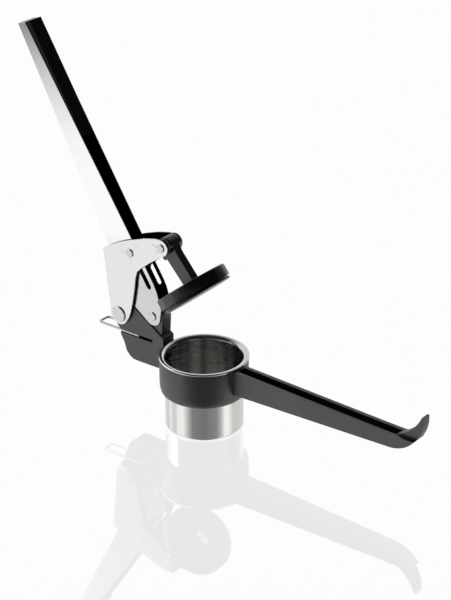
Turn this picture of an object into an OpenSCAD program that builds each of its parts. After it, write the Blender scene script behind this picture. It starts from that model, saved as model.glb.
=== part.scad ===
// Potato ricer: a perforated steel cup in a black frame, a steel lever and a pair of link plates
// that push a black plunger down the cup. Millimetres, +Z up. The origin is the centre of the cup's
// base, +X runs out along the fixed handle, and the mechanism is symmetric about the plane y = 0.
// It is drawn standing open, with the lever and the plunger swung back over the rear housing.

/* [Cup] */
// Outside radius of the cup wall
cup_r = 39.9; // [39.5:0.1:40.2]
// Height from the base to the top of the rim
cup_h = 78; // [74:1:82]
// Thickness of the sheet
cup_t = 0.8; // [0.6:0.1:1]
// Outside radius of the rolled rim
rim_r = 46; // [45.6:0.1:47]
// Radius of the bead along the edge of the rim
bead_r = 1.1; // [0.9:0.1:1.3]
// Radius of the bend between the wall and the rim
flare_r = 4.6; // [3:0.1:4.8]
// Radius of the corner between the wall and the base
base_corner_r = 2.4; // [2:0.1:4]
// Diameter of the press holes
hole_d = 3.2; // [2.4:0.1:4]
// Distance between the rings of holes
hole_pitch = 6.4; // [6:0.1:6.6]
// Rings of holes round the middle one
hole_rings = 5; // [3:1:5]

/* [Frame] */
// Outside radius of the collar round the cup
collar_r = 45.2; // [44.6:0.1:45.6]
// Height of the collar's lower edge
collar_bottom = 38.5; // [34:0.5:42]
// Half width of the housing's side cheeks
cheek_y = 8.4; // [8.4:0.1:8.6]
// Half width of the housing's web between the lever walls
web_y = 7; // [6.4:0.1:7]
// Half width of the hollow inside the housing
hollow_y = 6; // [5:0.1:6.2]
// Half width of the round bosses under the link plates
boss_y = 9.6; // [9.4:0.1:9.7]

/* [Fixed handle] */
// Half width of the trough handle
handle_y = 9.3; // [9:0.1:11]
// Half width of the trough inside
trough_y = 5.2; // [4.5:0.1:6]
// Thickness of the trough's floor
trough_floor = 4.6; // [3:0.1:6]
// Half width of the upturned tongue at the end
tongue_y = 4.8; // [4:0.1:5.2]
// Radius of the outer curve of the upturned end
hook_outer_r = 36; // [34:0.5:38]
// Radius of the inner curve of the upturned end
hook_inner_r = 49.3; // [48.5:0.1:50]
// Height of the tip of the tongue
hook_top = 97.4; // [92:0.2:98]
// Where the straight underside of the handle ends, side view
handle_end = [228.8, 57];

/* [Pivots] */
// Fixed pivot of the link plates, side view
link_pivot = [-102.2, 96.4];
// Fixed pivot of the lever, side view
lever_pivot = [-59.8, 105.2];
// Distance from the link pivot to the plunger pin
link_r = 107.2; // [107:0.1:107.6]
// Angle of the plunger pin above the link pivot when open
link_angle = 57.1; // [56.8:0.1:57.4]
// Place of the drive pins from the link pivot
drive_pin_at = [17.3, 73.7];
// Radius of the link pivot's shaft
link_shaft_r = 4; // [3.5:0.1:5.5]
// Radius of the lever pivot's shaft
lever_shaft_r = 4; // [3.5:0.1:4.5]
// Radius of the plunger pin and the drive pins
pin_r = 2.5; // [2:0.1:2.6]
// Radial clearance of a shaft that turns in a bore
running_gap = 0.05; // [0.03:0.01:0.08]

/* [Link plates] */
// Inner face of each plate
plate_y = 10.2; // [10.2:0.1:10.6]
// Thickness of each plate
plate_t = 1.6; // [1.4:0.1:2]
// Radius of the rounded end at the link pivot
plate_foot_r = 11.2; // [9:0.1:11.4]
// Radius of the rounded end at the plunger pin
plate_tip_r = 8.6; // [8:0.1:9]

/* [Lever] */
// Angle of the lever above the handle when open
lever_angle = 117.2; // [114:0.2:118]
// Length of the lever from its pivot to its end
lever_len = 322.5; // [280:0.5:330]
// Outside half width of the channel at the pivot
lever_y = 8.4; // [8.3:0.1:8.4]
// Outside half width of the channel at the far end
lever_end_y = 11.2; // [10:0.1:12]
// Thickness of the sheet
lever_t = 1; // [1:0.1:1.2]
// Distance from the pivot to the back of the channel
lever_back = 20.2; // [19.6:0.2:20.6]
// Radius of the rounded foot at the pivot
lever_foot_r = 10; // [9:0.2:10]
// Angle between the drive slots and the lever
slot_tilt = 5.8; // [5:0.1:6.5]
// Half width of the drive slots
slot_half = 2.7; // [2.6:0.1:3]
// Depth of the walls in front of the pivot's line, at the pivot
wall_depth = 21.8; // [21.2:0.1:22]
// How much the walls lose in depth for each millimetre along the lever
wall_taper = 0.1; // [0.098:0.001:0.104]

/* [Grip] */
// Where the grip begins, measured from the pivot
grip_start = 195; // [170:1:220]
// Height of the grip above the walls where it begins
grip_low = 2.2; // [1.5:0.1:3]
// Height of the grip above the walls at the far end
grip_high = 3.8; // [2.5:0.1:4.5]

/* [Plunger] */
// Lean of the plunger when open
plunger_lean = 39.4; // [39:0.1:39.6]
// Radius of the disc
disc_r = 38.2; // [37:0.1:38.3]
// Thickness of the disc
disc_t = 13.2; // [11:0.1:13.4]
// Radius of the press plate under the disc
press_plate_r = 37; // [36:0.1:37.2]
// Thickness of the press plate
press_plate_t = 2.6; // [2:0.1:3]
// Distance from the pin to the underside of the press plate
plunger_len = 59; // [58:0.5:59.5]
// Radius of the eye that holds the pin
eye_r = 8.6; // [8:0.1:9]
// Half width of the eye
eye_y = 9.9; // [9.4:0.1:9.95]
// Size of the stem, along and across the frame
stem_size = [14.4, 9.4];
// How far the stem's foot and its screws stand off the disc's centre, towards the handle
stem_shift = 1.8; // [0:0.1:2]
// Inner and outer half width of the two slits in the eye's top, which clear the lever's walls
eye_slit = [7.1, 8.7];
// Height of the slits' floor above the pin
eye_slit_z = 1.2; // [1:0.1:1.6]

/* [Bail] */
// Diameter of the wire
wire_d = 2.6; // [2:0.1:3]
// Half distance between the arms
bail_y = 6.9; // [6.6:0.1:7]
// Height of the wire
bail_z = 76.5; // [76:0.1:77]
// Outer end of the bail when pulled out
bail_end = -135.6; // [-137:0.2:-132]
// Travel of the bail into the housing
bail_travel = 18; // [12:0.5:18]

/* [Hidden] */
$fn = 64;
black = "#26282a";
satin_steel = "#d9d9d6";
bright_steel = "#c9cac8";
far = 400;

cup_in_r = cup_r - cup_t;
seat_r = cup_r + 0.1;
bead_at = [rim_r - bead_r, cup_h - bead_r];
collar_top = bead_at[1] - bead_r;
link_bush_r = link_shaft_r + 2;
lever_bush_r = lever_shaft_r + 5.5;
link_head_r = 8.8;
tongue_start = handle_end[0] + 7.2;
bail_len = 57;
grip_screw_x = [grip_start + 22, lever_len - 24];
hook_in_y = 4.5;
plate_out_y = plate_y + plate_t;
plunger_pin_at = link_pivot + link_r * [cos(link_angle), sin(link_angle)];

// The plunger hangs upright once the plates have turned by its lean. It then slides down the cup
// while the pin, on its arc about the link pivot, shifts a little across it in the eye's slot.
upright_angle = link_angle - plunger_lean;
upright_pin = link_pivot + link_r * [cos(upright_angle), sin(upright_angle)];
arc_reach = link_pivot[0] + link_r;
eye_at = (upright_pin[0] + arc_reach) / 2 - 0.3;
eye_slot_half = (arc_reach - upright_pin[0]) / 2 + 0.3;
eye_slot_r = pin_r + 0.35;
disc_top = -plunger_len + press_plate_t + disc_t;
disc_low = -plunger_len + press_plate_t;
screw_at = [stem_shift - 4.2, stem_shift + 4.2];
screw_r = 1.9;

// Side view of the drive pins at rest, and the slots that follow the line through them
drive_arm = link_pivot + drive_pin_at - lever_pivot;
slot_angle = lever_angle + slot_tilt;
slot_rest = drive_arm * [cos(slot_angle), sin(slot_angle)];
slot_offset = drive_arm * [sin(slot_angle), -cos(slot_angle)];
slot_low = 29;

// Height of the front edge of the channel's walls at a distance u from the pivot
wall_front_at = function (u) wall_depth - wall_taper * u;
// Outside half width of the channel, which flares beyond flare_from
flare_from = 90;
flare = (lever_end_y - lever_y) / (lever_len - flare_from);
channel_y = function (u) lever_y + max(0, u - flare_from) * flare;

// Solid from y = y0 to y = y1 with the child outline as its side view
module slab(y0, y1) {
    translate([0, y1, 0]) rotate([90, 0, 0]) linear_extrude(y1 - y0) children();
}

// Round bar along Y through a point of the side view
module bar(at, r, y0, y1) {
    translate([at[0], y0, at[1]]) rotate([-90, 0, 0]) cylinder(r = r, h = y1 - y0);
}

// Rivet head on the face y = y0, with a chamfered edge, pointing away from y = 0
module head(at, r, y0, h) {
    side = sign(y0);
    translate([at[0], y0, at[1]]) rotate([-90 * side, 0, 0]) rotate_extrude()
        polygon([[0, 0], [r, 0], [r, h * 0.45], [r - h * 0.55, h], [0, h]]);
}

// Side view shapes
module spot(at, r) {
    translate(at) circle(r);
}

// ---- Cup and frame ----

module cup_section() {
    // Base, corner, wall, bend and rim, as radius and height
    corner_at = cup_r - base_corner_r;
    square([corner_at, cup_t]);
    translate([corner_at, base_corner_r]) intersection() {
        difference() {
            circle(base_corner_r);
            circle(base_corner_r - cup_t);
        }
        translate([0, -base_corner_r]) square(base_corner_r);
    }
    translate([cup_in_r, base_corner_r]) square([cup_t, cup_h - flare_r - base_corner_r]);
    translate([cup_in_r + flare_r, cup_h - flare_r]) intersection() {
        difference() {
            circle(flare_r);
            circle(flare_r - cup_t);
        }
        translate([-flare_r, 0]) square(flare_r);
    }
    translate([cup_in_r + flare_r, cup_h - cup_t]) square([bead_at[0] - cup_in_r - flare_r, cup_t]);
    translate(bead_at) circle(bead_r);
}

module press_cup() {
    color(bright_steel) difference() {
        rotate_extrude() cup_section();
        translate([0, 0, -1]) cylinder(d = hole_d, h = cup_t + 2);
        for (ring = [1:hole_rings], i = [0:6 * ring - 1])
            rotate(i * 60 / ring) translate([ring * hole_pitch, 0, -1]) cylinder(d = hole_d, h = cup_t + 2);
    }
}

module collar() {
    rotate_extrude() polygon([
        [seat_r, collar_bottom],
        [collar_r - 3.2, collar_bottom],
        [collar_r - 1.4, collar_bottom + 1.6],
        [collar_r - 0.4, collar_bottom + 5],
        [collar_r, collar_bottom + 10],
        [collar_r, collar_top - 0.6],
        [collar_r - 0.6, collar_top],
        [seat_r + 1.3, collar_top],
        [seat_r, cup_h - flare_r]]);
}

// Side view of the housing's cheeks, up to the step that clears the lever's foot
module cheek_outline() {
    step_end = -rim_r - 0.4;
    step_gap = lever_foot_r + 1;
    step_turn = 32.9;
    difference() {
        union() {
            spot(link_pivot, 9.6);
            polygon([[-111.6, 94], [-109.1, 84], [-104, 78], [-103.3, 72], [-98.7, 63.6], [-96.2, 55.4],
                [-91.5, 50.4], [-86.7, 48], [-80, 47.8], [-43, 48.4], [-43, collar_top],
                [step_end, collar_top], [step_end, 100], [-86, 112], [-104, 105]]);
        }
        translate(lever_pivot) rotate(-step_turn) translate([-31, -step_gap]) square([far, 60]);
    }
}

// Side view of the web between the lever's walls, which carries the lever's pivot
module web_outline() {
    spot(lever_pivot, 11.8);
    polygon([[-92, 103], [-86, 107.6], [lever_pivot[0] - 3.4, lever_pivot[1] + 11.3],
        [lever_pivot[0] + 11.8, lever_pivot[1]], [-49.3, 84], [-rim_r - 0.4, 81],
        [-rim_r - 0.4, collar_top], [-43, collar_top], [-43, 60], [-92, 60]]);
}

// Side view of the hollow inside the housing, open underneath
module housing_hollow() {
    polygon([[-86, 40], [-88.5, 51], [-92.5, 57.5], [-95, 66], [-99, 75], [-97.5, 83], [-90, 86.5],
        [-74, 90], [-50, 88], [-50, 40]]);
}

module bail_tracks() {
    track = wire_d + 0.8;
    inner_x = bail_end + bail_len + bail_travel;
    outer_x = -120;
    floor_y = hook_in_y - 0.3;
    wide = cheek_y + 1 - floor_y;
    for (side = [-1, 1]) translate([outer_x, side > 0 ? floor_y : -floor_y - wide, bail_z - track / 2])
        cube([inner_x - outer_x, wide, track]);
}

module housing() {
    slab(-cheek_y, cheek_y) cheek_outline();
    slab(-web_y, web_y) web_outline();
    bar(link_pivot, 9.6, -boss_y, boss_y);
}

module handle_outline() {
    end_x = handle_end[0];
    low = handle_end[1];
    intersection() {
        polygon([[40, 49.9], [end_x, low], [end_x + 40, low], [end_x + 40, low + 14], [end_x, low + 13.7],
            [40, 75.8]]);
        union() {
            square([end_x, 100]);
            spot([end_x, low + hook_outer_r], hook_outer_r);
        }
    }
}

module tongue_outline() {
    difference() {
        spot(handle_end + [0, hook_outer_r], hook_outer_r);
        spot(handle_end + [-11.8, 59.3], hook_inner_r);
        translate([0, hook_top]) square(far);
        square([tongue_start, far]);
    }
}

module trough_outline() {
    rim_z = 90;
    polygon([[47.5, 50.2 + trough_floor], [tongue_start - 4, handle_end[1] + trough_floor],
        [tongue_start, handle_end[1] + 9], [tongue_start, rim_z], [47.5, rim_z]]);
}

module handle() {
    difference() {
        slab(-handle_y, handle_y) handle_outline();
        slab(-trough_y, trough_y) trough_outline();
    }
    slab(-tongue_y, tongue_y) tongue_outline();
}

module frame_body() {
    color(black) difference() {
        union() {
            collar();
            housing();
            handle();
        }
        translate([0, 0, -1]) cylinder(r = seat_r, h = 200);
        bar(link_pivot, link_bush_r, -far, far);
        bar(lever_pivot, lever_bush_r + running_gap, -far, far);
        slab(-hollow_y, hollow_y) housing_hollow();
        bail_tracks();
    }
}

// ---- Pivots ----

module bush(at, r_in, r_out, y) {
    difference() {
        bar(at, r_out, -y, y);
        bar(at, r_in, -far, far);
    }
}

module link_pivot_bush() {
    color(bright_steel) bush(link_pivot, link_shaft_r + running_gap, link_bush_r, boss_y);
}

module link_pivot_washers() {
    color(bright_steel) for (side = [-1, 1]) difference() {
        bar(link_pivot, 9.2, side > 0 ? boss_y : -plate_y + 0.05, side > 0 ? plate_y - 0.05 : -boss_y);
        bar(link_pivot, link_shaft_r + 0.2, -far, far);
    }
}

// Sleeve pressed on the lever's shaft, which turns in the housing's web
module lever_pivot_bush() {
    color(bright_steel) bush(lever_pivot, lever_shaft_r, lever_bush_r, web_y);
}

// Shaft with a head on the near side and a turned-down neck for the cap on the far side
module headed_pin(at, r, y, head_r, head_h) {
    bar(at, r, -y, y);
    head(at, head_r, -y, head_h);
    bar(at, r / 2, y, y + head_h / 2);
}

module pin_cap(at, r, y, head_r, head_h) {
    difference() {
        head(at, head_r, y, head_h);
        bar(at, r / 2, y - 1, y + head_h / 2);
    }
}

module link_pivot_pin() {
    color(satin_steel) headed_pin(link_pivot, link_shaft_r, plate_out_y + 0.05, link_head_r, 1.4);
}

module link_pivot_cap() {
    color(satin_steel) pin_cap(link_pivot, link_shaft_r, plate_out_y + 0.05, link_head_r, 1.4);
}

module lever_pivot_pin() {
    color(satin_steel) headed_pin(lever_pivot, lever_shaft_r, lever_y + 0.05, 4.8, 1.2);
}

module lever_pivot_cap() {
    color(satin_steel) pin_cap(lever_pivot, lever_shaft_r, lever_y + 0.05, 4.8, 1.2);
}

// ---- Link plates and their pins ----

// Side view of a plate between its round ends: a bent arm from the link pivot to the plunger pin
module plate_outline() {
    polygon([link_pivot + [-plate_foot_r + 0.1, 0], link_pivot + [-plate_foot_r - 0.2, 6],
        [-120.8, 165.8], [-112.5, 171.3], [-104.5, 175.6], [-95, 180.1], [-83, 185], [-66, 190.9],
        [-51.5, 194.4], plunger_pin_at + [-1.4, plate_tip_r - 0.3], plunger_pin_at,
        plunger_pin_at + [5.9, -6], [-58.4, 166.6], [-70, 157.4], [-76, 151.8], [-78.4, 143.6],
        [-80, 132], [-83.6, 113], [-86.2, 103], [-88.6, 96.6], [-92.4, 90.6], [-97.4, 86.6],
        link_pivot]);
}

module link_plate(y0, y1) {
    difference() {
        union() {
            bar(link_pivot, plate_foot_r, y0, y1);
            bar(plunger_pin_at, plate_tip_r, y0, y1);
            slab(y0, y1) plate_outline();
        }
        bar(link_pivot, link_shaft_r + running_gap, -far, far);
        bar(link_pivot + drive_pin_at, pin_r, -far, far);
        bar(plunger_pin_at, pin_r, -far, far);
    }
}

module link_plate_left() {
    color(satin_steel) link_plate(plate_y, plate_out_y);
}

module link_plate_right() {
    color(satin_steel) link_plate(-plate_out_y, -plate_y);
}

// Drive pin on one plate: a shoulder inside, a shank through the plate and a head outside
module drive_pin(side) {
    at = link_pivot + drive_pin_at;
    gap_y = lever_y + 0.4;
    inner = side > 0 ? gap_y : -plate_y;
    outer = side > 0 ? plate_y : -gap_y;
    bar(at, 4, inner, outer);
    bar(at, pin_r, side > 0 ? plate_y : -plate_out_y, side > 0 ? plate_out_y : -plate_y);
    head(at, 4.6, side * plate_out_y, 1.2);
}

module drive_pin_left() {
    color(satin_steel) drive_pin(1);
}

module drive_pin_right() {
    color(satin_steel) drive_pin(-1);
}

module plunger_pin() {
    color(satin_steel) {
        bar(plunger_pin_at, pin_r, -plate_out_y, plate_out_y);
        for (side = [-1, 1]) head(plunger_pin_at, 4.5, side * plate_out_y, 1.2);
    }
}

// ---- Plunger, drawn upright with z = 0 at the pin, then leant back about the link pivot ----

module leant_back() {
    at = [link_pivot[0], 0, link_pivot[1]];
    translate(at) rotate([0, -plunger_lean, 0]) translate(-at) translate([0, 0, upright_pin[1]]) children();
}

module eye_slot_outline() {
    for (side = [-1, 1]) translate([eye_at + side * eye_slot_half, 0]) circle(eye_slot_r);
    translate([eye_at, 0]) square([2 * eye_slot_half, 2 * eye_slot_r], center = true);
}

// The eye: whole below the slits' floor, and three separate lobes above it
module eye() {
    slab(-eye_y, eye_y) intersection() {
        spot([eye_at, 0], eye_r);
        translate([eye_at - eye_r, eye_slit_z - 2 * eye_r]) square(2 * eye_r);
    }
    slab(-eye_slit[0], eye_slit[0]) spot([eye_at, 0], eye_r);
    for (side = [-1, 1]) slab(side > 0 ? eye_slit[1] : -eye_y, side > 0 ? eye_y : -eye_slit[1])
        spot([eye_at, 0], eye_r);
}

module screw_holes(r) {
    for (x = screw_at) translate([x, 0, -plunger_len - 1]) cylinder(r = r, h = 26);
}

module stem_outline() {
    half = stem_size[0] / 2;
    spot([eye_at, 0], eye_r);
    polygon([[eye_at - eye_r * 0.94, -3], [eye_at + eye_r * 0.94, -3], [half + 1, -12],
        [half + stem_shift, disc_top], [stem_shift - half, disc_top], [-half, -14]]);
    spot([-half - 1.4, -9.4], 2.8);
}

module plunger_stem() {
    color(black) leant_back() difference() {
        union() {
            slab(-stem_size[1] / 2, stem_size[1] / 2) stem_outline();
            eye();
        }
        slab(-far, far) eye_slot_outline();
        screw_holes(screw_r);
    }
}

module plunger_disc() {
    edge = 1;
    groove = 1.4;
    color(black) leant_back() difference() {
        rotate_extrude() polygon([[0, disc_low], [press_plate_r - groove, disc_low],
            [press_plate_r - groove, disc_low + groove], [disc_r - 0.4, disc_low + groove],
            [disc_r, disc_low + groove + 0.4], [disc_r, disc_top - edge], [disc_r - edge, disc_top],
            [0, disc_top]]);
        screw_holes(screw_r);
    }
}

module press_plate() {
    low = -plunger_len;
    color(black) leant_back() difference() {
        rotate_extrude() difference() {
            polygon([[0, low], [press_plate_r - 0.8, low], [press_plate_r, low + 0.8],
                [press_plate_r, disc_low], [0, disc_low]]);
            for (r = [12, 20, 28]) translate([r, low - 1]) square([1.6, 1.7]);
        }
        screw_holes(screw_r);
        for (x = screw_at) translate([x, 0, low - 0.01]) cylinder(r1 = 3.8, r2 = screw_r, h = 1.91);
    }
}

module plunger_screws() {
    color(bright_steel) leant_back() for (x = screw_at) translate([x, 0, -plunger_len]) {
        difference() {
            union() {
                translate([0, 0, 0.1]) cylinder(r1 = 3.7, r2 = screw_r, h = 1.8);
                cylinder(r = screw_r, h = 24);
            }
            translate([0, 0, -1]) cylinder(r = 1.3, h = 2, $fn = 6);
        }
    }
}

// ---- Lever, drawn lying along +X with its pivot at the origin and its open side down ----

module raised_lever() {
    translate([lever_pivot[0], 0, lever_pivot[1]]) rotate([0, -lever_angle, 0]) children();
}

module wall_outline() {
    polygon([[-6.5, -7.6], [3, -14.6], [12.5, -16.8], [23, -18.6], [32, -wall_front_at(32)],
        [lever_len - 2, -wall_front_at(lever_len)], [lever_len, lever_back], [18, lever_back],
        [-5, 8.66]]);
    circle(lever_foot_r);
}

// Plan of the channel, inset from its outer faces
module channel_plan(inset) {
    y0 = lever_y - inset;
    y1 = lever_end_y - inset;
    polygon([[-20, -y0], [flare_from, -y0], [lever_len, -y1], [lever_len + 9, -y1], [lever_len + 9, y1],
        [lever_len, y1], [flare_from, y0], [-20, y0]]);
}

module drive_slot_outline() {
    rotate(slot_tilt) {
        translate([slot_low, -slot_offset - slot_half]) square([slot_rest - slot_low + 2, 2 * slot_half]);
        for (s = [slot_low, slot_rest + 2]) translate([s, -slot_offset]) circle(slot_half);
    }
}

module lever_channel() {
    color(satin_steel) raised_lever() difference() {
        intersection() {
            slab(-far, far) wall_outline();
            translate([0, 0, -100]) linear_extrude(200) channel_plan(0);
        }
        translate([0, 0, -100]) linear_extrude(100 + lever_back - lever_t) channel_plan(lever_t);
        slab(-far, far) drive_slot_outline();
        bar([0, 0], lever_shaft_r + running_gap, -far, far);
        for (x = grip_screw_x) translate([x, 0, 0]) cylinder(r = 1.6, h = far);
    }
}

// Cross-section of the grip at a distance u from the pivot: a bed inside the walls and a bevelled cap
module grip_slice(u, rise) {
    front = -wall_front_at(u);
    in_y = channel_y(u) - lever_t;
    translate([u, 0, 0]) rotate([90, 0, 90]) linear_extrude(0.01)
        polygon([[-in_y, front], [-in_y + 1.8, front - rise], [in_y - 1.8, front - rise], [in_y, front]]);
}

// Side view of the hollows in the back of the grip, either side of its screw posts
module grip_pockets(top) {
    skin = 3.5;
    post = 4;
    rib = 1.2;
    middle = (grip_screw_x[0] + grip_screw_x[1]) / 2;
    pockets = [[grip_start + 3, grip_screw_x[0] - post], [grip_screw_x[0] + post, middle - rib],
        [middle + rib, grip_screw_x[1] - post], [grip_screw_x[1] + post, lever_len - 5]];
    for (pocket = pockets) polygon([[pocket[0], skin - wall_front_at(pocket[0])], [pocket[0], top],
        [pocket[1], top], [pocket[1], skin - wall_front_at(pocket[1])]]);
}

module grip_insert() {
    bed_top = lever_back - lever_t;
    color(black) raised_lever() difference() {
        union() {
            intersection() {
                slab(-far, far) polygon([[grip_start, -wall_front_at(grip_start)],
                    [lever_len - 2, -wall_front_at(lever_len - 2)], [lever_len - 0.5, bed_top],
                    [grip_start, bed_top]]);
                translate([0, 0, -100]) linear_extrude(200) channel_plan(lever_t);
            }
            hull() {
                grip_slice(grip_start, grip_low);
                grip_slice(lever_len - 2, grip_high);
            }
        }
        for (x = grip_screw_x) translate([x, 0, bed_top - 9]) cylinder(r = 1.2, h = 20);
        intersection() {
            slab(-far, far) grip_pockets(bed_top + 1);
            translate([0, 0, -100]) linear_extrude(200) channel_plan(lever_t + 2.4);
        }
    }
}

module grip_screws() {
    color(bright_steel) raised_lever() for (x = grip_screw_x) translate([x, 0, lever_back]) {
        cylinder(r1 = 3, r2 = 2.4, h = 1.1);
        translate([0, 0, -lever_t]) cylinder(r = 1.6, h = lever_t);
        translate([0, 0, -lever_t - 9]) cylinder(r = 1.2, h = 9);
    }
}

// ---- Bail ----

module hanging_bail() {
    wire_r = wire_d / 2;
    bend_r = 3.2;
    arm_end = bail_end + bail_len - wire_r - 0.4;
    back = bail_end + wire_r;
    color(bright_steel) translate([0, 0, bail_z]) {
        for (side = [-1, 1]) {
            translate([back + bend_r, side * bail_y, 0]) rotate([0, 90, 0])
                cylinder(r = wire_r, h = arm_end - back - bend_r);
            translate([back + bend_r, side * (bail_y - bend_r), 0]) rotate(side > 0 ? 90 : 180)
                rotate_extrude(angle = 90) translate([bend_r, 0]) circle(wire_r);
            translate([arm_end, side > 0 ? hook_in_y : -bail_y, 0]) rotate([-90, 0, 0])
                cylinder(r = wire_r, h = bail_y - hook_in_y);
            translate([arm_end, side * bail_y, 0]) sphere(wire_r);
        }
        translate([back, bend_r - bail_y, 0]) rotate([-90, 0, 0])
            cylinder(r = wire_r, h = 2 * (bail_y - bend_r));
    }
}

frame_body();
press_cup();
link_pivot_bush();
link_pivot_washers();
lever_pivot_bush();
link_pivot_pin();
link_pivot_cap();
link_plate_left();
link_plate_right();
drive_pin_left();
drive_pin_right();
plunger_pin();
plunger_stem();
plunger_disc();
press_plate();
plunger_screws();
lever_pivot_pin();
lever_pivot_cap();
lever_channel();
grip_insert();
grip_screws();
hanging_bail();
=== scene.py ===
"""Potato ricer standing open on a pale, slightly glossy table. Metres, in the CAD model's own frame."""
import math

import bpy
from mathutils import Matrix, Vector

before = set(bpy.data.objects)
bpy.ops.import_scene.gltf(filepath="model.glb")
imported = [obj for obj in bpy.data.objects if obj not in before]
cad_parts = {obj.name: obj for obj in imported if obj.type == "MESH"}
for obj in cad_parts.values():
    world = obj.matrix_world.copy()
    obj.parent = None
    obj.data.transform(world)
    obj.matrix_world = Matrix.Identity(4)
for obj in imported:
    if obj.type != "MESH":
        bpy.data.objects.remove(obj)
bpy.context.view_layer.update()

# ---- Camera ----

AZIMUTH = math.radians(38.494)
ELEVATION = math.radians(25.957)
ROLL = math.radians(-0.358)
DISTANCE = 1.882
TARGET = Vector((0.0282, 0.0, 0.1468))
LENS_MM = 115.1
SENSOR_MM = 36.0
FAR_CLIP = 20.0

# Level directions towards the camera and to its right
TO_CAMERA = (math.sin(AZIMUTH), -math.cos(AZIMUTH), 0.0)
TO_RIGHT = (math.cos(AZIMUTH), math.sin(AZIMUTH), 0.0)
UPWARD = (0.0, 0.0, 1.0)

# ---- Colours, linear ----

WHITE = (1.0, 1.0, 1.0, 1.0)
BLACK_COAT = (0.0045, 0.0047, 0.0048)
PLUNGER_BLACK = (0.005, 0.005, 0.0052)
GRIP_BLACK = (0.004, 0.0032, 0.0022)
# Painted shade on the inner faces of the sheet steel parts; also the dark of their grain lines
SHADE_AND_GRAIN_BLACK = (0.030, 0.028, 0.026)
SATIN_STEEL = (0.85, 0.85, 0.84)
CUP_STEEL = (0.72, 0.72, 0.70)
PIN_STEEL = (0.62, 0.62, 0.61)
# Tones of the link plates and of the lever's lower end, as parts of the satin steel's; the lower end's
# darker tone is painted shade, where the plates shade the lever
PLATE_TONE = 0.82
# The lever's lower end: a painted shade
LEVER_FOOT_SHADE = 0.65
# Tones of the cup's inside, as parts of its outside's: painted shade, and upright bands of painted
# reflection; and how much rougher it is
INSIDE_SHADE = 0.45
INSIDE_REFLECTION = 1.1
INSIDE_ROUGHER = 0.16

# ---- Fineness of the surfaces' detail, per metre along X, Y and Z ----

SHEET_GRAIN = (60.0, 900.0, 900.0)
TURNING_MARKS = (10.0, 10.0, 2500.0)
# Upright bands of painted reflection on the cup's inside
REFLECTION_BANDS = (70.0, 70.0, 0.0)

# Depth of fine relief, in metres
RELIEF = 0.0001
COAT_RELIEF = 0.00012

LEVER_ANGLE = math.radians(117.2)
# Heights between which the satin steel passes from its low tone, a painted shade, to its full tone
SHADED_BELOW = (0.135, 0.185)

# ---- Table and studio brightness ----

TABLE_MIRROR = 0.27
TABLE_GLOW = 1.09
TABLE_ROUGHNESS = 0.03
TABLE_HALF = 12.0
CARD_HALF = 3.0
CARD_DEPTH = -0.001
# Where the card lies: its direction from the cup, and how far along it the card begins and is full
CARD_TOWARD = (-0.75, -0.66, 0.0)
CARD_EDGE = (0.75, 1.6)

# Brightness of the studio round the object, by the angle in degrees from the camera's side:
# -90 is on the camera's left, 90 on its right, and 180 behind the object
STUDIO_PEAK = 1.3
STUDIO = (
    (-180, 0.85), (-130, 0.85), (-118, 1.2), (-106, 0.9), (-94, 0.9), (-84, 1.22), (-66, 1.25), (-52, 0.75),
    (-36, 0.30), (0, 0.24), (36, 0.34), (50, 0.65), (63, 1.28), (76, 1.25), (92, 0.82), (180, 0.85))
# How high the dim ceiling begins and is full
CEILING_EDGE = (0.55, 0.85)
CEILING_DIM = 0.15
# Dark screen on the camera's right: how far to the right, and how high, it begins and is full
SCREEN_RIGHT = (0.50, 0.80)
SCREEN_UP = (-0.22, 0.04)
SCREEN_DIM = 0.12
# Dim room on the camera's side, above the table: how far to that side, and how high
FRONT_SIDE = (-0.45, -0.05)
FRONT_UP = (0.12, 0.3)
FRONT_DIM = 0.08

# Soft key light: where it stands from the camera's target, its size, and its power in watts
KEY_AWAY = Vector((-1.7, -0.9, 1.1))
KEY_SIZE = (0.9, 1.3)
KEY_WATTS = 6.0

# ---- Softened edges: width in metres and number of segments ----

EDGE_ANGLE = math.radians(35.0)
WELD_WITHIN = 1e-6
SOFT_EDGES = {
    "frame_body": (0.0006, 3),
    "lever_channel": (0.0003, 2),
    "link_plate_left": (0.0003, 2),
    "link_plate_right": (0.0003, 2),
    "plunger_stem": (0.0006, 3),
    "plunger_disc": (0.0005, 3),
    "press_plate": (0.0003, 2),
    "grip_insert": (0.0007, 3),
}


def camera_axes():
    """Right, up and back of a camera at the studio's viewing angle."""
    back = Vector((math.sin(AZIMUTH) * math.cos(ELEVATION),
                   -math.cos(AZIMUTH) * math.cos(ELEVATION),
                   math.sin(ELEVATION)))
    right = Vector(TO_RIGHT)
    up = back.cross(right)
    rolled_right = math.cos(ROLL) * right + math.sin(ROLL) * up
    rolled_up = math.cos(ROLL) * up - math.sin(ROLL) * right
    return rolled_right, rolled_up, back


def add_camera():
    right, up, back = camera_axes()
    data = bpy.data.cameras.new("camera")
    data.lens = LENS_MM
    data.sensor_width = SENSOR_MM
    data.clip_end = FAR_CLIP
    camera = bpy.data.objects.new("camera", data)
    turn = Matrix((right, up, back)).transposed()
    camera.matrix_world = Matrix.Translation(TARGET + DISTANCE * back) @ turn.to_4x4()
    bpy.context.collection.objects.link(camera)
    bpy.context.scene.camera = camera


# ---- Material helpers ----

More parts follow.
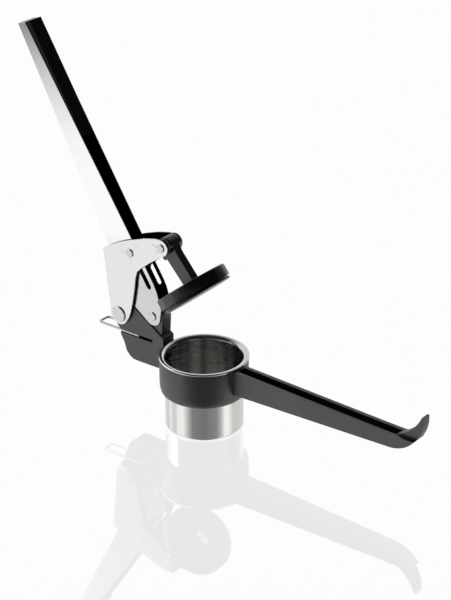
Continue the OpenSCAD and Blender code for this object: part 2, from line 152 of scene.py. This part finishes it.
class Surface:
    """A material with one Principled shader, and short calls that add nodes to it."""

    def __init__(self, name, colour, roughness, metallic=0.0):
        self.material = bpy.data.materials.new(name)
        self.material.use_nodes = True
        self.tree = self.material.node_tree
        self.shader = self.tree.nodes["Principled BSDF"]
        self.shader.inputs["Base Color"].default_value = (*colour, 1.0)
        self.shader.inputs["Roughness"].default_value = roughness
        self.shader.inputs["Metallic"].default_value = metallic
        self.material.diffuse_color = (*colour, 1.0)

    def node(self, kind, **settings):
        node = self.tree.nodes.new(kind)
        for key, value in settings.items():
            setattr(node, key, value)
        return node

    def link(self, source, target):
        self.tree.links.new(source, target)

    def where(self, kind="Object"):
        """A texture coordinate: the place in metres, or the face's normal."""
        return self.node("ShaderNodeTexCoord").outputs[kind]

    def place(self, stretch=(1.0, 1.0, 1.0), turn=(0.0, 0.0, 0.0)):
        """Object coordinates, turned and then scaled."""
        mapping = self.node("ShaderNodeMapping")
        spin = self.node("ShaderNodeVectorRotate", rotation_type="EULER_XYZ")
        spin.inputs["Rotation"].default_value = turn
        self.link(self.where(), spin.inputs["Vector"])
        mapping.inputs["Scale"].default_value = stretch
        self.link(spin.outputs["Vector"], mapping.inputs["Vector"])
        return mapping.outputs["Vector"]

    def part(self, vector, axis):
        """One of a vector's three parts."""
        parts = self.node("ShaderNodeSeparateXYZ")
        self.link(vector, parts.inputs["Vector"])
        return parts.outputs[axis]

    def noise(self, vector, scale, detail=3.0):
        noise = self.node("ShaderNodeTexNoise")
        noise.inputs["Scale"].default_value = scale
        noise.inputs["Detail"].default_value = detail
        self.link(vector, noise.inputs["Vector"])
        return noise.outputs["Fac"]

    def spread(self, value, low, high, start=0.3, end=0.7):
        """value, from start to end, mapped onto low to high."""
        ramp = self.node("ShaderNodeMapRange")
        ramp.inputs["From Min"].default_value = start
        ramp.inputs["From Max"].default_value = end
        ramp.inputs["To Min"].default_value = low
        ramp.inputs["To Max"].default_value = high
        self.link(value, ramp.inputs["Value"])
        return ramp.outputs["Result"]

    def maths(self, operation, first, second):
        node = self.node("ShaderNodeMath", operation=operation)
        for socket, value in zip(node.inputs, (first, second)):
            if isinstance(value, (int, float)):
                socket.default_value = value
            else:
                self.link(value, socket)
        return node.outputs["Value"]

    def mix(self, factor, dark, light):
        """A colour between two colours."""
        node = self.node("ShaderNodeMix", data_type="RGBA")
        self.link(factor, node.inputs["Factor"])
        for socket, value in ((node.inputs["A"], dark), (node.inputs["B"], light)):
            if isinstance(value, tuple):
                socket.default_value = (*value, 1.0)
            else:
                self.link(value, socket)
        return node.outputs["Result"]

    def tones(self, value, colour, dark, light, start=0.3, end=0.7):
        """A colour that varies with value between two shades of one colour."""
        return self.mix(self.spread(value, 0.0, 1.0, start, end), shade(colour, dark), shade(colour, light))

    def colour(self, output):
        self.link(output, self.shader.inputs["Base Color"])

    def roughness(self, output):
        self.link(output, self.shader.inputs["Roughness"])

    def specular(self, level):
        self.shader.inputs["Specular IOR Level"].default_value = level

    def bump(self, height, strength, depth=RELIEF):
        bump = self.node("ShaderNodeBump")
        bump.inputs["Strength"].default_value = strength
        bump.inputs["Distance"].default_value = depth
        self.link(height, bump.inputs["Height"])
        self.link(bump.outputs["Normal"], self.shader.inputs["Normal"])


def shade(colour, factor):
    return tuple(channel * factor for channel in colour)


def facing_axis(surface):
    """1 on faces that look towards the cup's axis, and 0 on the others."""
    flat = surface.node("ShaderNodeVectorMath", operation="MULTIPLY")
    flat.inputs[1].default_value = (1.0, 1.0, 0.0)
    outward = surface.node("ShaderNodeVectorMath", operation="NORMALIZE")
    along = surface.node("ShaderNodeVectorMath", operation="DOT_PRODUCT")
    surface.link(surface.where(), flat.inputs[0])
    surface.link(flat.outputs["Vector"], outward.inputs[0])
    surface.link(outward.outputs["Vector"], along.inputs[0])
    surface.link(surface.where("Normal"), along.inputs[1])
    return surface.maths("LESS_THAN", along.outputs["Value"], -0.8)


def facing_in(surface):
    """1 on faces that look towards the plane y = 0, and 0 on the others."""
    side = surface.maths("SIGN", surface.part(surface.where(), "Y"), 0.0)
    outward = surface.maths("MULTIPLY", side, surface.part(surface.where("Normal"), "Y"))
    return surface.maths("LESS_THAN", outward, -0.6)


# ---- Materials ----

def satin_sheet(name, tone, foot_shade_tone, turn=0.0):
    """Satin stainless sheet with a fine lengthwise grain, painted shade on its inner faces, and a painted
    shade low down.
    """
    steel = Surface(name, tone, 0.22, metallic=1.0)
    lines = steel.noise(steel.place(SHEET_GRAIN, (0.0, turn, 0.0)), 1.0, 4.0)
    cloud = steel.noise(steel.place(), 18.0, 2.0)
    height = steel.part(steel.where(), "Z")
    # Painted shade: darker low down, towards the lever's foot
    level = steel.mix(steel.spread(height, 0.0, 1.0, *SHADED_BELOW), foot_shade_tone, tone)
    bright = steel.mix(steel.spread(lines, 0.06, 0.0), level, SHADE_AND_GRAIN_BLACK)
    # Painted shade on the faces that look inwards, towards y = 0
    steel.colour(steel.mix(facing_in(steel), bright, SHADE_AND_GRAIN_BLACK))
    rough = steel.maths("ADD", steel.spread(lines, 0.17, 0.24), steel.spread(cloud, -0.02, 0.02))
    steel.roughness(rough)
    steel.bump(lines, 0.05)
    return steel.material


def spun_steel():
    """Bright drawn steel with faint turning marks outside; inside, a painted shade with upright bands of
    painted reflection.
    """
    steel = Surface("spun_steel", CUP_STEEL, 0.2, metallic=1.0)
    marks = steel.noise(steel.place(TURNING_MARKS), 1.0, 3.0)
    cloud = steel.noise(steel.place(), 25.0, 3.0)
    bands = steel.noise(steel.place(REFLECTION_BANDS), 1.0, 2.0)
    inside = facing_axis(steel)
    outer_tone = steel.tones(marks, CUP_STEEL, 0.9, 1.0)
    # Painted shade inside the cup, with upright bands of painted reflection
    painted_inside = steel.tones(bands, CUP_STEEL, INSIDE_SHADE, INSIDE_REFLECTION, 0.38, 0.62)
    steel.colour(steel.mix(inside, outer_tone, painted_inside))
    rough = steel.maths("ADD", steel.spread(marks, 0.07, 0.12), steel.spread(cloud, -0.01, 0.02))
    steel.roughness(steel.maths("ADD", rough, steel.maths("MULTIPLY", inside, INSIDE_ROUGHER)))
    steel.bump(marks, 0.02)
    return steel.material


def pin_steel():
    """Turned steel of the rivets, pins and wire, with small handling marks."""
    steel = Surface("pin_steel", PIN_STEEL, 0.25, metallic=1.0)
    specks = steel.noise(steel.place(), 700.0, 4.0)
    steel.colour(steel.tones(specks, PIN_STEEL, 0.85, 1.0))
    steel.roughness(steel.spread(specks, 0.2, 0.34))
    steel.bump(specks, 0.05)
    return steel.material


def black_coating():
    """Fine-grained black coating of the casting."""
    coat = Surface("black_coating", BLACK_COAT, 0.42)
    coat.specular(0.95)
    grain = coat.noise(coat.place(), 1600.0, 2.0)
    cloud = coat.noise(coat.place(), 22.0, 3.0)
    coat.colour(coat.tones(grain, BLACK_COAT, 0.75, 1.25))
    rough = coat.maths("ADD", coat.spread(grain, 0.36, 0.46), coat.spread(cloud, -0.03, 0.04))
    coat.roughness(rough)
    coat.bump(grain, 0.35, COAT_RELIEF)
    return coat.material


def plunger_black():
    """Smooth moulded black of the plunger, slightly rubbed."""
    black = Surface("plunger_black", PLUNGER_BLACK, 0.3)
    black.specular(0.7)
    grain = black.noise(black.place(), 900.0, 2.0)
    cloud = black.noise(black.place(), 60.0, 4.0)
    black.colour(black.tones(cloud, PLUNGER_BLACK, 0.8, 1.3))
    black.roughness(black.spread(cloud, 0.22, 0.34))
    black.bump(grain, 0.12)
    return black.material


def grip_black():
    """Glossy warm black of the grip."""
    black = Surface("grip_black", GRIP_BLACK, 0.2)
    cloud = black.noise(black.place(), 90.0, 3.0)
    black.colour(black.tones(cloud, GRIP_BLACK, 0.8, 1.25))
    black.roughness(black.spread(cloud, 0.16, 0.26))
    black.bump(cloud, 0.05)
    return black.material


def glow(name, brightness):
    """A material that only shines, with its tree, its shader and its output node."""
    material = bpy.data.materials.new(name)
    material.use_nodes = True
    tree = material.node_tree
    tree.nodes.clear()
    shine = tree.nodes.new("ShaderNodeEmission")
    shine.inputs["Strength"].default_value = brightness
    result = tree.nodes.new("ShaderNodeOutputMaterial")
    tree.links.new(shine.outputs["Emission"], result.inputs["Surface"])
    return material, tree, shine, result


def table_white():
    """Evenly lit white table top with a faint mirror image."""
    material, tree, shine, result = glow("table_white", TABLE_GLOW)
    mirror = tree.nodes.new("ShaderNodeBsdfGlossy")
    mirror.inputs["Roughness"].default_value = TABLE_ROUGHNESS
    mixed = tree.nodes.new("ShaderNodeMixShader")
    mixed.inputs["Fac"].default_value = TABLE_MIRROR
    tree.links.new(shine.outputs["Emission"], mixed.inputs[1])
    tree.links.new(mirror.outputs["BSDF"], mixed.inputs[2])
    tree.links.new(mixed.outputs["Shader"], result.inputs["Surface"])
    return material


def black_card():
    """Black card with a soft near edge, seen only in reflections: it dims the upper end of the lever."""
    material, tree, shine, result = glow("black_card", 0.0)
    where = tree.nodes.new("ShaderNodeTexCoord")
    toward = tree.nodes.new("ShaderNodeVectorMath")
    toward.operation = "DOT_PRODUCT"
    toward.inputs[1].default_value = CARD_TOWARD
    tree.links.new(where.outputs["Object"], toward.inputs[0])
    ramp = tree.nodes.new("ShaderNodeMapRange")
    ramp.interpolation_type = "SMOOTHSTEP"
    ramp.inputs["From Min"].default_value = CARD_EDGE[0]
    ramp.inputs["From Max"].default_value = CARD_EDGE[1]
    tree.links.new(toward.outputs["Value"], ramp.inputs["Value"])
    clear = tree.nodes.new("ShaderNodeBsdfTransparent")
    mixed = tree.nodes.new("ShaderNodeMixShader")
    tree.links.new(ramp.outputs["Result"], mixed.inputs["Fac"])
    tree.links.new(clear.outputs["BSDF"], mixed.inputs[1])
    tree.links.new(shine.outputs["Emission"], mixed.inputs[2])
    tree.links.new(mixed.outputs["Shader"], result.inputs["Surface"])
    return material


# ---- Putting them on ----

def soften(name, width, segments):
    """Rounds a CAD node's sharp edges a little, so that they catch the light."""
    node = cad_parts[name]
    weld = node.modifiers.new("weld", "WELD")
    weld.merge_threshold = WELD_WITHIN
    bevel = node.modifiers.new("bevel", "BEVEL")
    bevel.width = width
    bevel.segments = segments
    bevel.limit_method = "ANGLE"
    bevel.angle_limit = EDGE_ANGLE
    bevel.use_clamp_overlap = True
    bevel.harden_normals = True


def dress(material, *names):
    """Gives CAD nodes one material."""
    for name in names:
        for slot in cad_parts[name].material_slots:
            slot.material = material


def dress_all():
    # The lever gets a painted shade at its foot; the plates get none
    foot_shade_tone = shade(SATIN_STEEL, LEVER_FOOT_SHADE)
    plate_tone = shade(SATIN_STEEL, PLATE_TONE)
    dress(satin_sheet("satin_lever", SATIN_STEEL, foot_shade_tone, turn=LEVER_ANGLE), "lever_channel")
    dress(satin_sheet("satin_plate", plate_tone, plate_tone), "link_plate_left", "link_plate_right")
    dress(spun_steel(), "press_cup")
    dress(pin_steel(), "link_pivot_pin", "link_pivot_cap", "lever_pivot_pin", "lever_pivot_cap",
          "drive_pin_left", "drive_pin_right", "plunger_pin", "plunger_screws", "grip_screws",
          "hanging_bail", "link_pivot_bush", "lever_pivot_bush", "link_pivot_washers")
    dress(black_coating(), "frame_body")
    dress(plunger_black(), "plunger_stem", "plunger_disc", "press_plate")
    dress(grip_black(), "grip_insert")


# ---- Table and light ----

def add_plane(name, half, z, material):
    mesh = bpy.data.meshes.new(name)
    corners = [(-half, -half, z), (half, -half, z), (half, half, z), (-half, half, z)]
    mesh.from_pydata(corners, [], [(0, 1, 2, 3)])
    mesh.materials.append(material)
    plane = bpy.data.objects.new(name, mesh)
    bpy.context.collection.objects.link(plane)
    return plane


def add_table():
    """The table, and the card just under it. Shiny surfaces see the studio below the table, not its glow."""
    table = add_plane("table", TABLE_HALF, 0.0, table_white())
    table.visible_glossy = False
    card = add_plane("black_card", CARD_HALF, CARD_DEPTH, black_card())
    card.visible_camera = False
    card.visible_diffuse = False
    card.visible_shadow = False


def add_key_light():
    """Soft square light, aimed at the camera's target."""
    data = bpy.data.lights.new("key", "AREA")
    data.shape = "RECTANGLE"
    data.size, data.size_y = KEY_SIZE
    data.energy = KEY_WATTS
    light = bpy.data.objects.new("key", data)
    aim = KEY_AWAY.to_track_quat("Z", "Y").to_matrix().to_4x4()
    light.matrix_world = Matrix.Translation(TARGET + KEY_AWAY) @ aim
    bpy.context.collection.objects.link(light)


def add_world():
    """White room, seen by shiny surfaces with a dim ceiling, a dim front and a dark screen on the right."""
    world = bpy.data.worlds.new("room")
    bpy.context.scene.world = world
    world.use_nodes = True
    tree = world.node_tree
    sky = tree.nodes["Background"]
    where = tree.nodes.new("ShaderNodeTexCoord")

    def along(direction):
        """How far the looked-at direction goes along another."""
        node = tree.nodes.new("ShaderNodeVectorMath")
        node.operation = "DOT_PRODUCT"
        node.inputs[1].default_value = direction
        tree.links.new(where.outputs["Generated"], node.inputs[0])
        return node.outputs["Value"]

    def span(value, start, end, low, high, smooth=False):
        """value, from start to end, mapped onto low to high."""
        node = tree.nodes.new("ShaderNodeMapRange")
        if smooth:
            node.interpolation_type = "SMOOTHSTEP"
        for socket, number in zip(("From Min", "From Max", "To Min", "To Max"), (start, end, low, high)):
            node.inputs[socket].default_value = number
        tree.links.new(value, node.inputs["Value"])
        return node.outputs["Result"]

    def product(first, second):
        node = tree.nodes.new("ShaderNodeMath")
        node.operation = "MULTIPLY"
        tree.links.new(first, node.inputs[0])
        tree.links.new(second, node.inputs[1])
        return node.outputs["Value"]

    def dimmed(side, side_edge, up_edge, dim):
        """dim where the direction is both far enough to a side and high enough, and 1 elsewhere."""
        beyond = span(side, *side_edge, 0.0, 1.0, smooth=True)
        above = span(up, *up_edge, 0.0, 1.0, smooth=True)
        return span(product(beyond, above), 0.0, 1.0, 1.0, dim)

    up = along(UPWARD)
    to_right = along(TO_RIGHT)
    to_camera = along(TO_CAMERA)

    angle = tree.nodes.new("ShaderNodeMath")
    angle.operation = "ARCTAN2"
    tree.links.new(to_right, angle.inputs[0])
    tree.links.new(to_camera, angle.inputs[1])
    around = tree.nodes.new("ShaderNodeValToRGB")
    stops = around.color_ramp.elements
    while len(stops) < len(STUDIO):
        stops.new(0.5)
    for stop, (degrees, brightness) in zip(stops, STUDIO):
        stop.position = (degrees + 180) / 360
        stop.color = (*[brightness / STUDIO_PEAK] * 3, 1.0)
    tree.links.new(span(angle.outputs["Value"], -math.pi, math.pi, 0.0, 1.0), around.inputs["Fac"])
    tree.links.new(around.outputs["Color"], sky.inputs["Color"])

    ceiling = span(up, *CEILING_EDGE, STUDIO_PEAK, STUDIO_PEAK * CEILING_DIM, smooth=True)
    lit = product(ceiling, dimmed(to_camera, FRONT_SIDE, FRONT_UP, FRONT_DIM))
    strength = product(lit, dimmed(to_right, SCREEN_RIGHT, SCREEN_UP, SCREEN_DIM))
    tree.links.new(strength, sky.inputs["Strength"])

    plain = tree.nodes.new("ShaderNodeBackground")
    plain.inputs["Color"].default_value = WHITE
    seen = tree.nodes.new("ShaderNodeLightPath")
    mixed = tree.nodes.new("ShaderNodeMixShader")
    tree.links.new(seen.outputs["Is Camera Ray"], mixed.inputs["Fac"])
    tree.links.new(sky.outputs["Background"], mixed.inputs[1])
    tree.links.new(plain.outputs["Background"], mixed.inputs[2])
    tree.links.new(mixed.outputs["Shader"], tree.nodes["World Output"].inputs["Surface"])


add_camera()
dress_all()
for node_name, (edge_width, edge_segments) in SOFT_EDGES.items():
    soften(node_name, edge_width, edge_segments)
add_table()
add_key_light()
add_world()
bpy.context.scene.view_settings.view_transform = "Standard"
